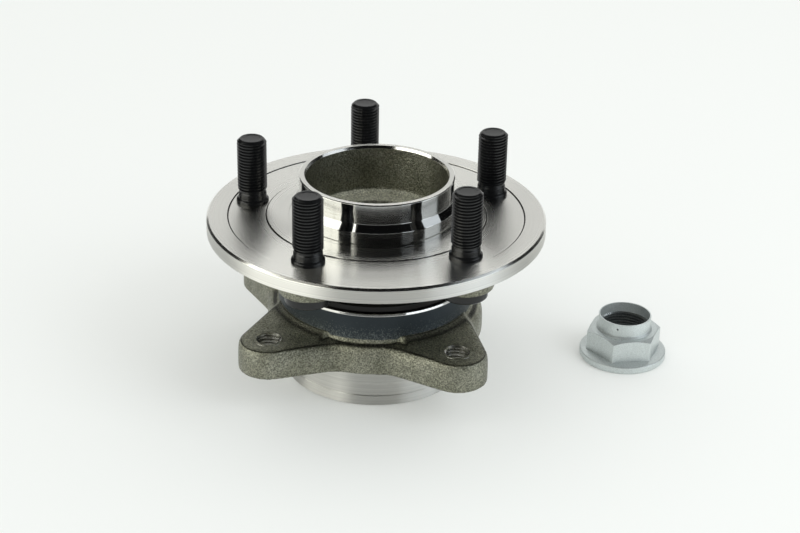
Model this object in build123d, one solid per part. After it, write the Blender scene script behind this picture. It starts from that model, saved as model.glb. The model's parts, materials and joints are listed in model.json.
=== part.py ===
from build123d import *
import os
from math import atan2, cos, floor, pi, radians, sin, sqrt, tan

# Wheel hub bearing unit: a flanged wheel hub that turns in a double-row ball bearing,
# whose outer ring is a forged housing with four bolt-on ears, and its loose axle nut.
#
# Millimetres. The origin is the centre of the wheel's seating face on the hub flange.
# +Z points outboard, along the axle. +X is the housing's plane of symmetry, on the side
# where the ears stand further apart.

# ---------------------------------------------------------------- wheel hub, outboard side
BOLT_CIRCLE_R = 60.0
FLANGE_MARGIN = 19.4          # flange outside the bolt circle
FLANGE_RIM_T = 7.0            # thickness at the rim
FLANGE_EDGE = 1.0             # turned chamfer round the seating face
RELIEF_INSIDE = 8.7           # shallow relief round the studs: this far inside ...
RELIEF_OUTSIDE = 9.6          # ... and outside the bolt circle
RELIEF_DEPTH = 0.4
DISC_PILOT_R = 38.3           # centres the brake disc
DISC_PILOT_H = 6.9
UNDERCUT_W = 2.7              # relief groove at the foot of the disc pilot
UNDERCUT_DEPTH = 0.3
WHEEL_PILOT_R = 36.25         # centres the wheel
PILOT_CONE_H = 3.4            # lead-in cone between the two pilots
PILOT_H = 19.85               # top of the pilot above the seating face
PILOT_EDGE_R = 0.8            # chamfer on the pilot's mouth, radial ...
PILOT_EDGE_H = 0.6            # ... and axial
PILOT_LAND = 1.5              # width of the pilot's flat end face
CUP_MOUTH_H = 1.35            # machined lead-in inside the mouth
CUP_MOUTH_R = 0.95
CUP_DRAFT = 0.8               # the forged cup narrows by this much on the radius
CUP_DEPTH = 3.5               # cup floor below the seating face
CUP_CORNER = 3.0              # forged corner between cup wall and floor
NUT_SEAT_R = 21.8             # machined seat for the axle nut's flange
NUT_SEAT_DEPTH = 1.0

# ---------------------------------------------------------------- wheel hub, inboard side
FLANGE_ROOT_DROP = 2.6        # the flange thickens towards the neck by this much
NECK_FILLET_R = 14.5          # forged sweep from the flange's back into the neck
NECK_STEP = 1.98              # neck above the ground land beside it
BOSS_R = 13.7                 # forged boss behind each stud
BOSS_DRAFT = 4.0              # degrees
BOSS_FACE_Z = -15.0           # machined seat of the stud heads
SPLINE_TEETH = 30
SPLINE_MINOR_R = 14.5
SPLINE_DEPTH = 1.0
SPLINE_LEAD = 1.2             # chamfer at each end of the splined bore
HUB_END_GAP = 1.6             # the shaft stops short of the inner ring's face
SHAFT_END_CHAMFER = 1.0

# ---------------------------------------------------------------- wheel studs
STUD_COUNT = 5
FIRST_STUD_ANGLE = 21.7
STUD_THREAD_R = 6.95          # M14, at its crests
STUD_SHANK_R = 6.6            # plain neck under the thread
STUD_TOP_Z = 31.55
STUD_TIP = 1.3                # chamfer on the tip
STUD_DISH = 0.4               # the tip is slightly dished
STUD_THREAD_START = 6.6
KNURL_R = 7.65                # knurled length, pressed into the flange
KNURL_PROUD = 1.4             # and standing this far out of it
STUD_HEAD_R = 10.6
STUD_HEAD_T = 5.0
STUD_HEAD_EDGE = 0.8

# ---------------------------------------------------------------- bearing
BALL_R = 6.35
PITCH_R = 32.0
BALL_SPACING_RATIO = 1.12     # between the balls' centres, in ball diameters
OUTBOARD_ROW_Z = -43.0
ROW_SPACING = 24.0
RACE_CLEARANCE = 0.03         # ball to raceway groove
HIGH_SHOULDER = 3.9           # depth of the thrust shoulders above the groove's bottom
SPLIT_Z = -54.5               # where the inner ring butts against the hub
INNER_RING_WALL = 4.62        # of the inner ring, under its raceway
OUTER_RING_WALL = 4.52        # of the housing's spigot, over its raceway
SEAT_CLEARANCE = 0.02
INNER_RING_END_Z = -79.2
RING_EDGE = 0.8
CAGE_T = 4.0                  # radial thickness of the crown cages
CAGE_BASE = 1.3               # solid ring behind the pockets
CAGE_CLAW = 1.9               # claws reach past the balls' centres by this much
POCKET_CLEARANCE = 0.2
CAGE_OUTER_GAP = 0.8          # cage to the outer ring's shoulder

# ---------------------------------------------------------------- housing (outer ring)
HOUSING_TOP_Z = -30.0
HOUSING_END_Z = -80.0
BARREL_STEP = 3.0             # turned barrel, outboard of the ears, above the spigot
BARREL_EDGE = 0.9             # bright chamfer on its end
BARREL_END_Z = -43.6          # the turned surface stops here
FORGED_SKIN = 0.4             # forged skin round the barrel's foot stands above it
FORGED_OVERLAP = 2.0          # the plate and its webs run this far into the ring
EAR_TOP_Z = -44.5
MOUNT_FACE_Z = -58.5          # face that bolts to the knuckle
WAIST_W = 5.1                 # plate between the ears, beyond the forged skin
SHOULDER_H = 6.0              # height of the rounded shoulder of the plate
EAR_REACH = 13.7              # centres of the ears' holes, beyond the waist
EAR_NARROW_ANGLE = 39.4       # ears on the -X side, from -X
EAR_WIDE_ANGLE = 57.0         # ears on the +X side, from +X
EAR_LOBE_R = 14.0
EAR_EDGE = 1.2                # the ear's wall leans in by this much at its top
EAR_ANGLE = 24.5              # the ears widen inwards, degrees a side, at the mounting face
SIDE_TOP_ANGLE = 11.0         # the same at the top, on the +Y and -Y flanks
END_TOP_ANGLE = 23.0          # and on the +X and -X flanks
EAR_ROOT_X = 16.0             # the ears run in under the barrel to here
WEB_FILLET = 14.0             # blend from ear to waist
WEB_RISE = 3.0                # the ear's top sweeps up into the barrel
WEB_RUN = 8.0
EAR_THREAD_R = 6.0            # M12, at its roots
EAR_THREAD_LEAD = 0.6
SPIGOT_STEP = 0.5             # the spigot is this much thicker beside the mounting face
SPIGOT_STEP_Z = -66.6
SPIGOT_STEP_H = 2.2
SPIGOT_EDGE = 0.6

# ---------------------------------------------------------------- seals
SEAL_SHEET = 0.8              # sheet-metal thickness of cases and slingers
SEAL_STEP_OUT = 1.02          # seal seat at the outboard end, beyond the raceway
SEAL_STEP_IN = 0.62           # and at the inboard end
SEAL_CASE_H = 4.8
SEAL_RECESS = 0.8             # the case sits this far inside the housing's end
SEAL_PRESS_GAP = 0.02
LIP_GAP = 0.15                # rubber lip to the surface that it wipes
CASE_WEB_GAP = 4.48           # inner edge of the cases' webs to the land
LIP_T = 0.75                  # axial lips: thickness at the tip, ...
LIP_ROOT = 1.6                # ... at the root ...
LIP_LEAN = 1.5                # ... and how far they lean outwards
SLINGER_TOP_Z = -26.2
SLINGER_SLEEVE_H = 6.0
SLINGER_WIDTH = 14.78         # from the land to the rim
SLINGER_RIM_GAP = 0.4         # slinger's rim to the housing's end
SLINGER_BEAD_REACH = 7.98     # pressed stiffening bead, from the land
SLINGER_BEAD_W = 3.0
SLINGER_BEAD_H = 0.7
INNER_SLINGER_GAP = 0.35      # inboard slinger's rim to its case
ENCODER_T = 0.9
ENCODER_STEP = 2.08           # inner edge of the encoder, above the land
ENCODER_FACE_GAP = 0.3        # encoder face inside the housing's end

# ---------------------------------------------------------------- axle nut
NUT_X = 122.4                 # where the loose nut stands
NUT_Y = 6.1
NUT_FLANGE_R = 21.05
NUT_FLANGE_T = 3.7
NUT_CONE_H = 0.5              # the flange's top rises to the hexagon
NUT_EDGE = 0.5
NUT_ACROSS_FLATS = 32.0
NUT_HEX_TOP = 15.2
NUT_HEX_ANGLE = 5.5
NUT_CHAMFER_ANGLE = 30.0      # degrees
NUT_CHAMFER_R = 16.3          # circle where the chamfer starts
NUT_H = 22.3
NUT_COLLAR_T = 0.5            # wall of the thin collar
NUT_COLLAR_FOOT = 0.8
NUT_THREAD_R = 12.0           # M24, at its roots
NUT_COLLAR_GAP = 0.25         # the collar's plain bore clears the thread
NUT_COLLAR_BORE_H = 5.0
NUT_LEAD = 1.0

# ---------------------------------------------------------------- worked-out sizes
FLANGE_R = BOLT_CIRCLE_R + FLANGE_MARGIN
RELIEF_IN_R = BOLT_CIRCLE_R - RELIEF_INSIDE
RELIEF_OUT_R = BOLT_CIRCLE_R + RELIEF_OUTSIDE
INBOARD_ROW_Z = OUTBOARD_ROW_Z - ROW_SPACING
BALLS_PER_ROW = floor(pi * PITCH_R / (BALL_R * BALL_SPACING_RATIO))
GROOVE_R = BALL_R + RACE_CLEARANCE
OUTER_GROOVE_R = PITCH_R + GROOVE_R
INNER_GROOVE_R = PITCH_R - GROOVE_R
OUTER_SHOULDER_R = OUTER_GROOVE_R - HIGH_SHOULDER
LAND_R = INNER_GROOVE_R + HIGH_SHOULDER          # ground lands that the seals run on
SLEEVE_R = LAND_R + SEAT_CLEARANCE               # slingers, pressed on the lands
INNER_SEAT_R = INNER_GROOVE_R - INNER_RING_WALL  # seat of the inner ring on the hub
NECK_R = LAND_R + NECK_STEP
SPIGOT_R = OUTER_GROOVE_R + OUTER_RING_WALL      # centres in the knuckle
SPIGOT_ROOT_R = SPIGOT_R + SPIGOT_STEP
BARREL_R = SPIGOT_R + BARREL_STEP
FORGED_R = BARREL_R + FORGED_SKIN
WAIST_R = FORGED_R + WAIST_W
EAR_HOLE_CIRCLE_R = WAIST_R + EAR_REACH
CASE_OUT_R = OUTER_GROOVE_R + SEAL_STEP_OUT - SEAL_PRESS_GAP
CASE_IN_R = OUTER_GROOVE_R + SEAL_STEP_IN - SEAL_PRESS_GAP
CASE_WEB_IN_R = LAND_R + CASE_WEB_GAP
SLINGER_R = LAND_R + SLINGER_WIDTH
SLINGER_BEAD_R = LAND_R + SLINGER_BEAD_REACH
SPLINE_MAJOR_R = SPLINE_MINOR_R + SPLINE_DEPTH
HUB_END_Z = INNER_RING_END_Z + HUB_END_GAP
CUP_TOP_R = WHEEL_PILOT_R - PILOT_EDGE_R - PILOT_LAND - CUP_MOUTH_R
CUP_FLOOR_R = CUP_TOP_R - CUP_DRAFT
NUT_COLLAR_BORE_R = NUT_THREAD_R + NUT_COLLAR_GAP
NUT_COLLAR_R = NUT_COLLAR_BORE_R + NUT_COLLAR_T
STUD_ANGLES = [FIRST_STUD_ANGLE + i * 360 / STUD_COUNT for i in range(STUD_COUNT)]
EAR_ANGLES = [EAR_WIDE_ANGLE, 180 - EAR_NARROW_ANGLE, 180 + EAR_NARROW_ANGLE, -EAR_WIDE_ANGLE]


# ---------------------------------------------------------------- helpers
def turned(*points):
    """A solid of revolution about Z from (radius, z) corners."""
    return revolve(Plane.XZ * make_face(Polyline(*points, close=True)), Axis.Z)


def turned_edges(edges):
    """A solid of revolution about Z from profile edges drawn as (radius, z)."""
    return revolve(Plane.XZ * make_face(edges), Axis.Z)


def groove_reach(depth_below_centre):
    """Axial distance from a groove's centre to the point where it reaches a shoulder."""
    return sqrt(GROOVE_R ** 2 - depth_below_centre ** 2)


def race_arc(row_z, start, side):
    """Arc of a raceway groove, from its bottom (start radius) towards a thrust shoulder."""
    outward = 1 if start > PITCH_R else -1
    shoulder = start - outward * HIGH_SHOULDER
    reach = groove_reach(abs(shoulder - PITCH_R))
    half = atan2(reach, abs(shoulder - PITCH_R)) / 2
    middle = (PITCH_R + outward * GROOVE_R * cos(half), row_z + side * GROOVE_R * sin(half))
    end = (shoulder, row_z + side * reach)
    return ThreePointArc((start, row_z), middle, end), end


def around(shape, angles):
    """Copies of a shape, turned about Z."""
    return [Rot(0, 0, angle) * shape for angle in angles]


# ---------------------------------------------------------------- wheel hub
def hub_profile():
    """Half section of the hub, without its studs' holes, bosses and splines."""
    face_in = DISC_PILOT_R + UNDERCUT_W
    cone_top = DISC_PILOT_H + PILOT_CONE_H
    mouth_r = CUP_TOP_R + CUP_MOUTH_R
    corner = CUP_CORNER * (1 - sqrt(0.5))
    root_z = -FLANGE_RIM_T - FLANGE_ROOT_DROP
    sweep_r = NECK_R + NECK_FILLET_R
    sweep = NECK_FILLET_R * (1 - sqrt(0.5))
    race, race_end = race_arc(OUTBOARD_ROW_Z, INNER_GROOVE_R, 1)
    outside = Polyline(
        (CUP_FLOOR_R, -CUP_DEPTH + CUP_CORNER), (CUP_TOP_R, PILOT_H - CUP_MOUTH_H),
        (mouth_r, PILOT_H), (WHEEL_PILOT_R - PILOT_EDGE_R, PILOT_H),
        (WHEEL_PILOT_R, PILOT_H - PILOT_EDGE_H), (WHEEL_PILOT_R, cone_top),
        (DISC_PILOT_R, DISC_PILOT_H), (DISC_PILOT_R, -UNDERCUT_DEPTH), (face_in, -UNDERCUT_DEPTH),
        (face_in, 0), (RELIEF_IN_R, 0), (RELIEF_IN_R, -RELIEF_DEPTH),
        (RELIEF_OUT_R, -RELIEF_DEPTH), (RELIEF_OUT_R, 0), (FLANGE_R - FLANGE_EDGE, 0),
        (FLANGE_R, -FLANGE_EDGE), (FLANGE_R, -FLANGE_RIM_T), (sweep_r, root_z))
    neck = ThreePointArc((sweep_r, root_z), (NECK_R + sweep, root_z - sweep),
                         (NECK_R, root_z - NECK_FILLET_R))
    land = Polyline((NECK_R, root_z - NECK_FILLET_R), (NECK_R, SLINGER_TOP_Z),
                    (LAND_R, SLINGER_TOP_Z), race_end)
    shaft = Polyline(
        (INNER_GROOVE_R, OUTBOARD_ROW_Z), (INNER_GROOVE_R, SPLIT_Z), (INNER_SEAT_R, SPLIT_Z),
        (INNER_SEAT_R, HUB_END_Z + SHAFT_END_CHAMFER),
        (INNER_SEAT_R - SHAFT_END_CHAMFER, HUB_END_Z), (SPLINE_MINOR_R + SPLINE_LEAD, HUB_END_Z),
        (SPLINE_MINOR_R, HUB_END_Z + SPLINE_LEAD),
        (SPLINE_MINOR_R, -CUP_DEPTH - NUT_SEAT_DEPTH - SPLINE_LEAD),
        (SPLINE_MINOR_R + SPLINE_LEAD, -CUP_DEPTH - NUT_SEAT_DEPTH),
        (NUT_SEAT_R, -CUP_DEPTH - NUT_SEAT_DEPTH), (NUT_SEAT_R, -CUP_DEPTH),
        (CUP_FLOOR_R - CUP_CORNER, -CUP_DEPTH))
    cup_corner = ThreePointArc((CUP_FLOOR_R - CUP_CORNER, -CUP_DEPTH),
                               (CUP_FLOOR_R - corner, -CUP_DEPTH + corner),
                               (CUP_FLOOR_R, -CUP_DEPTH + CUP_CORNER))
    return outside + neck + land + race + shaft + cup_corner


def spline_grooves():
    """Cutter for the spaces between the splines of the hub's bore."""
    pitch = 360 / SPLINE_TEETH
    inner_half = radians(pitch) * SPLINE_MINOR_R * 0.28
    outer_half = radians(pitch) * SPLINE_MAJOR_R * 0.17
    inner_x = SPLINE_MINOR_R - SPLINE_DEPTH / 2
    space = make_face(Polyline((inner_x, -inner_half), (SPLINE_MAJOR_R, -outer_half),
                               (SPLINE_MAJOR_R, outer_half), (inner_x, inner_half), close=True))
    length = -CUP_DEPTH - NUT_SEAT_DEPTH - HUB_END_Z
    cutter = Pos(0, 0, HUB_END_Z) * extrude(space, amount=length)
    return around(cutter, [i * pitch for i in range(SPLINE_TEETH)])


def wheel_hub():
    boss_height = -BOSS_FACE_Z - FLANGE_RIM_T / 2
    boss = Pos(BOLT_CIRCLE_R, 0, BOSS_FACE_Z) * extrude(
        Circle(BOSS_R), amount=boss_height, taper=-BOSS_DRAFT)
    hole = Pos(BOLT_CIRCLE_R, 0, 0) * Cylinder(KNURL_R + SEAT_CLEARANCE, -4 * BOSS_FACE_Z)
    hub = turned_edges(hub_profile())
    hub = hub + around(boss, STUD_ANGLES)
    return hub - around(hole, STUD_ANGLES) - spline_grooves()


def wheel_stud():
    """One stud on the +X axis: head behind the flange, knurl through it, thread in front."""
    seat = BOSS_FACE_Z
    knurl_top = KNURL_PROUD
    neck_taper = KNURL_R - STUD_SHANK_R
    profile = Polyline(
        (0, seat - STUD_HEAD_T), (STUD_HEAD_R - STUD_HEAD_EDGE, seat - STUD_HEAD_T),
        (STUD_HEAD_R, seat - STUD_HEAD_T + STUD_HEAD_EDGE), (STUD_HEAD_R, seat), (KNURL_R, seat),
        (KNURL_R, knurl_top - neck_taper / 2), (STUD_SHANK_R, knurl_top),
        (STUD_SHANK_R, STUD_THREAD_START),
        (STUD_THREAD_R, STUD_THREAD_START + STUD_THREAD_R - STUD_SHANK_R),
        (STUD_THREAD_R, STUD_TOP_Z - STUD_TIP), (STUD_THREAD_R - STUD_TIP, STUD_TOP_Z),
        (STUD_THREAD_R - STUD_TIP - STUD_DISH, STUD_TOP_Z), (0, STUD_TOP_Z - STUD_DISH),
        close=True)
    return Pos(BOLT_CIRCLE_R, 0, 0) * revolve(Plane.XZ * make_face(profile), Axis.Z)


# ---------------------------------------------------------------- bearing rows
def inner_ring():
    bore_r = INNER_SEAT_R + SEAT_CLEARANCE
    race, race_end = race_arc(INBOARD_ROW_Z, INNER_GROOVE_R, -1)
    rim = Polyline(race_end, (LAND_R, INNER_RING_END_Z + RING_EDGE),
                   (LAND_R - RING_EDGE, INNER_RING_END_Z), (bore_r + RING_EDGE, INNER_RING_END_Z),
                   (bore_r, INNER_RING_END_Z + RING_EDGE), (bore_r, SPLIT_Z),
                   (INNER_GROOVE_R, SPLIT_Z), (INNER_GROOVE_R, INBOARD_ROW_Z))
    return turned_edges(race + rim)


def ball_row(row_z):
    ball = Pos(PITCH_R, 0, row_z) * Sphere(BALL_R)
    return Compound(children=around(ball, [i * 360 / BALLS_PER_ROW for i in range(BALLS_PER_ROW)]))


def crown_cage(row_z, open_side):
    """Crown cage: a ring with a spherical pocket for each ball, open on one side."""
    outer_r = OUTER_SHOULDER_R - CAGE_OUTER_GAP
    inner_r = outer_r - CAGE_T
    pocket_r = BALL_R + POCKET_CLEARANCE
    back = row_z - open_side * (pocket_r + CAGE_BASE)
    front = row_z + open_side * CAGE_CLAW
    ring = turned((inner_r, back), (outer_r, back), (outer_r, front), (inner_r, front))
    pocket = Pos(PITCH_R, 0, row_z) * Sphere(pocket_r)
    return ring - around(pocket, [i * 360 / BALLS_PER_ROW for i in range(BALLS_PER_ROW)])


# ---------------------------------------------------------------- housing
def housing_ring():
    """Turned outer ring: barrel, spigot, seal seats and both outer raceways."""
    upper, upper_end = race_arc(OUTBOARD_ROW_Z, OUTER_GROOVE_R, -1)
    lower, lower_end = race_arc(INBOARD_ROW_Z, OUTER_GROOVE_R, 1)
    seal_out_z = HOUSING_TOP_Z - SEAL_RECESS - SEAL_CASE_H
    seal_in_z = HOUSING_END_Z + SEAL_RECESS + SEAL_CASE_H
    seal_out_r = CASE_OUT_R + SEAL_PRESS_GAP
    seal_in_r = CASE_IN_R + SEAL_PRESS_GAP
    outside = Polyline(
        (OUTER_GROOVE_R, OUTBOARD_ROW_Z), (OUTER_GROOVE_R, seal_out_z),
        (seal_out_r, seal_out_z), (seal_out_r, HOUSING_TOP_Z),
        (BARREL_R - BARREL_EDGE, HOUSING_TOP_Z), (BARREL_R, HOUSING_TOP_Z - BARREL_EDGE),
        (BARREL_R, BARREL_END_Z), (FORGED_R, BARREL_END_Z), (FORGED_R, EAR_TOP_Z - SHOULDER_H),
        (SPIGOT_ROOT_R, MOUNT_FACE_Z), (SPIGOT_ROOT_R, SPIGOT_STEP_Z),
        (SPIGOT_R, SPIGOT_STEP_Z - SPIGOT_STEP_H), (SPIGOT_R, HOUSING_END_Z + SPIGOT_EDGE),
        (SPIGOT_R - SPIGOT_EDGE, HOUSING_END_Z), (seal_in_r, HOUSING_END_Z),
        (seal_in_r, seal_in_z), (OUTER_GROOVE_R, seal_in_z), (OUTER_GROOVE_R, INBOARD_ROW_Z))
    return turned_edges(outside + lower + Line(lower_end, upper_end) + upper)


def ear_outline(lobe_r, side_flare, end_flare):
    """One ear along +X: a round lobe whose tangent flanks widen towards the axis."""
    def flank(flare, sign):
        slope = radians(flare)
        touch = (EAR_HOLE_CIRCLE_R + lobe_r * sin(slope), sign * lobe_r * cos(slope))
        root = (EAR_ROOT_X, touch[1] + sign * (touch[0] - EAR_ROOT_X) * tan(slope))
        return touch, root
    side_touch, side_root = flank(side_flare, 1)
    end_touch, end_root = flank(end_flare, -1)
    return make_face(Polyline(side_touch, side_root, end_root, end_touch)
                     + ThreePointArc(end_touch, (EAR_HOLE_CIRCLE_R + lobe_r, 0), side_touch))


def placed_ears(outline, angles=EAR_ANGLES):
    """Ears at their angles, each with its side flank towards +Y or -Y."""
    ears = []
    for angle in angles:
        towards_side = cos(radians(angle)) * sin(radians(angle)) > 0
        shape = outline if towards_side else mirror(outline, Plane.XZ)
        ears.append(Rot(0, 0, angle) * shape)
    return ears


def plate_section(spread):
    """Outline of the eared plate: spread 0 is its top edge, 1 its mounting face."""
    waist_r = FORGED_R + spread * (WAIST_R - FORGED_R)
    lobe_r = EAR_LOBE_R - (1 - spread) * EAR_EDGE
    side_flare = SIDE_TOP_ANGLE + spread * (EAR_ANGLE - SIDE_TOP_ANGLE)
    end_flare = END_TOP_ANGLE + spread * (EAR_ANGLE - END_TOP_ANGLE)
    outline = Circle(waist_r) + placed_ears(ear_outline(lobe_r, side_flare, end_flare))
    corners = [v for v in outline.vertices() if abs(Vector(v.X, v.Y).length - waist_r) < 0.01]
    return fillet(corners, WEB_FILLET)


def eared_plate():
    """Forged plate whose walls round over from the mounting face up to the ears' tops."""
    levels = [(EAR_TOP_Z - SHOULDER_H * (1 - cos(a)), sin(a)) for a in
              (radians(0), radians(30), radians(60), radians(90))]
    levels.append((MOUNT_FACE_Z, 1))
    sections = [Pos(0, 0, z) * plate_section(spread) for z, spread in levels]
    return loft(sections, ruled=True)


def ear_webs():
    """Sweep of each ear's top up into the barrel."""
    foot_r = FORGED_R + WEB_RUN
    sweep = TangentArc((foot_r, EAR_TOP_Z), (FORGED_R, EAR_TOP_Z + WEB_RISE), tangent=(-1, 0))
    inner_r = FORGED_R - FORGED_OVERLAP
    ring = turned_edges(sweep + Polyline((FORGED_R, EAR_TOP_Z + WEB_RISE),
                                         (inner_r, EAR_TOP_Z + WEB_RISE),
                                         (inner_r, EAR_TOP_Z), (foot_r, EAR_TOP_Z)))
    ear = ear_outline(EAR_LOBE_R - EAR_EDGE, SIDE_TOP_ANGLE, END_TOP_ANGLE)
    blanks = [Pos(0, 0, EAR_TOP_Z) * extrude(face, amount=WEB_RISE, taper=35)
              for face in placed_ears(ear)]
    return [ring & blank for blank in blanks]


def bearing_housing():
    bore = Pos(0, 0, (HOUSING_TOP_Z + HOUSING_END_Z) / 2) * Cylinder(
        OUTER_GROOVE_R + FORGED_OVERLAP, HOUSING_TOP_Z - HOUSING_END_Z)
    forging = (eared_plate() + ear_webs()) - bore
    hole = turned((0, MOUNT_FACE_Z - 1), (EAR_THREAD_R + EAR_THREAD_LEAD + 1, MOUNT_FACE_Z - 1),
                  (EAR_THREAD_R, MOUNT_FACE_Z + EAR_THREAD_LEAD),
                  (EAR_THREAD_R, EAR_TOP_Z - EAR_THREAD_LEAD),
                  (EAR_THREAD_R + EAR_THREAD_LEAD + 1, EAR_TOP_Z + 1), (0, EAR_TOP_Z + 1))
    holes = around(Pos(EAR_HOLE_CIRCLE_R, 0, 0) * hole, EAR_ANGLES)
    return housing_ring() + forging - holes


# ---------------------------------------------------------------- seals
def axial_lip(root_r, root_z, tip_z):
    """Corners of a lip that leans outwards from its root to its tip, outer side first."""
    return [(root_r + LIP_ROOT, root_z), (root_r + LIP_LEAN + LIP_T, tip_z),
            (root_r + LIP_LEAN, tip_z), (root_r, root_z)]


def outboard_seal_case():
    top = HOUSING_TOP_Z - SEAL_RECESS
    floor_z = top - SEAL_CASE_H
    return turned((CASE_OUT_R, top), (CASE_OUT_R, floor_z), (CASE_WEB_IN_R, floor_z),
                  (CASE_WEB_IN_R, floor_z + SEAL_SHEET),
                  (CASE_OUT_R - SEAL_SHEET, floor_z + SEAL_SHEET),
                  (CASE_OUT_R - SEAL_SHEET, top))


def outboard_seal_lip():
    """Rubber body on the case's web, with a radial lip and two lips that face the slinger."""
    web_top = HOUSING_TOP_Z - SEAL_RECESS - SEAL_CASE_H + SEAL_SHEET
    wiped_z = SLINGER_TOP_Z - SEAL_SHEET - LIP_GAP
    wiped_r = SLEEVE_R + SEAL_SHEET + LIP_GAP
    outer_r = CASE_OUT_R - SEAL_SHEET
    base = web_top + 1.0
    return turned(
        (outer_r, web_top), (outer_r, base),
        *axial_lip(outer_r - LIP_LEAN - LIP_T, base, wiped_z - SLINGER_BEAD_H),
        *axial_lip(CASE_WEB_IN_R - 1.0, base, wiped_z),
        (wiped_r + 0.6, base - 0.2), (wiped_r, base + 0.5), (wiped_r, base - 0.4),
        (wiped_r + 0.9, web_top - SEAL_SHEET), (CASE_WEB_IN_R, web_top - SEAL_SHEET),
        (CASE_WEB_IN_R, web_top))


def outboard_slinger():
    """Pressed ring on the hub's land that throws water off the seal."""
    top = SLINGER_TOP_Z
    foot = top - SLINGER_SLEEVE_H
    under = top - SEAL_SHEET
    rim_z = HOUSING_TOP_Z + SLINGER_RIM_GAP
    bead_in = SLINGER_BEAD_R - SLINGER_BEAD_W / 2
    bead_out = SLINGER_BEAD_R + SLINGER_BEAD_W / 2
    drop = SLINGER_BEAD_H
    return turned(
        (SLEEVE_R, foot), (SLEEVE_R, top), (bead_in - drop, top), (bead_in, top - drop),
        (bead_out, top - drop), (bead_out + drop, top), (SLINGER_R - SEAL_SHEET, top),
        (SLINGER_R, top - SEAL_SHEET), (SLINGER_R, rim_z), (SLINGER_R - SEAL_SHEET, rim_z),
        (SLINGER_R - SEAL_SHEET, under), (bead_out + drop, under), (bead_out, under - drop),
        (bead_in, under - drop), (bead_in - drop, under), (SLEEVE_R + SEAL_SHEET, under),
        (SLEEVE_R + SEAL_SHEET, foot))


def inboard_seal_case():
    bottom = HOUSING_END_Z + SEAL_RECESS
    roof = bottom + SEAL_CASE_H
    return turned((CASE_IN_R, bottom), (CASE_IN_R, roof), (CASE_WEB_IN_R, roof),
                  (CASE_WEB_IN_R, roof - SEAL_SHEET), (CASE_IN_R - SEAL_SHEET, roof - SEAL_SHEET),
                  (CASE_IN_R - SEAL_SHEET, bottom))


def inner_slinger_disc():
    """Outboard face, inboard face and rim of the inboard slinger's disc."""
    face = HOUSING_END_Z + ENCODER_FACE_GAP + ENCODER_T
    return face + SEAL_SHEET, face, CASE_IN_R - SEAL_SHEET - INNER_SLINGER_GAP


def inboard_seal_lip():
    """Rubber body on the inboard case's web, with one radial and one axial lip."""
    roof = HOUSING_END_Z + SEAL_RECESS + SEAL_CASE_H - SEAL_SHEET
    wiped_r = SLEEVE_R + SEAL_SHEET + LIP_GAP
    wiped_z = inner_slinger_disc()[0] + LIP_GAP
    outer_r = CASE_IN_R - SEAL_SHEET
    base = roof - 0.9
    return turned(
        (outer_r, roof), (outer_r, base), *axial_lip(CASE_WEB_IN_R + 1.0, base, wiped_z),
        (wiped_r + 1.4, base), (wiped_r, base - 0.7), (wiped_r, base + 0.1),
        (wiped_r + 1.0, roof + SEAL_SHEET), (CASE_WEB_IN_R, roof + SEAL_SHEET),
        (CASE_WEB_IN_R, roof))


def inboard_slinger():
    back, face, rim_r = inner_slinger_disc()
    sleeve_top = HOUSING_END_Z + SEAL_RECESS + SEAL_CASE_H
    return turned((SLEEVE_R, face), (rim_r, face), (rim_r, back), (SLEEVE_R + SEAL_SHEET, back),
                  (SLEEVE_R + SEAL_SHEET, sleeve_top), (SLEEVE_R, sleeve_top))


def encoder_ring():
    """Magnetised rubber ring on the slinger, read by the wheel-speed sensor."""
    _, face, rim_r = inner_slinger_disc()
    inner_r = LAND_R + ENCODER_STEP
    return turned((inner_r, face - ENCODER_T), (rim_r, face - ENCODER_T), (rim_r, face),
                  (inner_r, face))


# ---------------------------------------------------------------- axle nut
def axle_nut():
    """Flange nut with a thin collar that is staked into the axle's slot."""
    corner_r = NUT_ACROSS_FLATS / 2 / cos(radians(30))
    foot_z = NUT_FLANGE_T
    hexagon = extrude(Rot(0, 0, NUT_HEX_ANGLE) * RegularPolygon(corner_r, 6), amount=NUT_HEX_TOP)
    chamfer_drop = (corner_r + 1 - NUT_CHAMFER_R) * tan(radians(NUT_CHAMFER_ANGLE))
    envelope = turned((0, 0), (corner_r + 1, 0), (corner_r + 1, NUT_HEX_TOP - chamfer_drop),
                      (NUT_CHAMFER_R, NUT_HEX_TOP), (0, NUT_HEX_TOP))
    foot_r = NUT_COLLAR_R + NUT_COLLAR_FOOT
    flange = turned((0, 0), (NUT_FLANGE_R - NUT_EDGE, 0), (NUT_FLANGE_R, NUT_EDGE),
                    (NUT_FLANGE_R, foot_z - NUT_EDGE), (NUT_FLANGE_R - NUT_EDGE, foot_z),
                    (corner_r, foot_z + NUT_CONE_H), (0, foot_z + NUT_CONE_H))
    collar = turned((0, NUT_HEX_TOP - 1), (foot_r, NUT_HEX_TOP - 1), (foot_r, NUT_HEX_TOP),
                    (NUT_COLLAR_R, NUT_HEX_TOP + NUT_COLLAR_FOOT), (NUT_COLLAR_R, NUT_H),
                    (0, NUT_H))
    bore = turned((0, 0), (NUT_THREAD_R + NUT_LEAD, 0), (NUT_THREAD_R, NUT_LEAD),
                  (NUT_THREAD_R, NUT_H - NUT_COLLAR_BORE_H),
                  (NUT_COLLAR_BORE_R, NUT_H - NUT_COLLAR_BORE_H + 0.1), (NUT_COLLAR_BORE_R, NUT_H),
                  (0, NUT_H))
    nut = (hexagon & envelope) + flange + collar - bore
    return Pos(NUT_X, NUT_Y, HOUSING_END_Z) * nut


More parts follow.
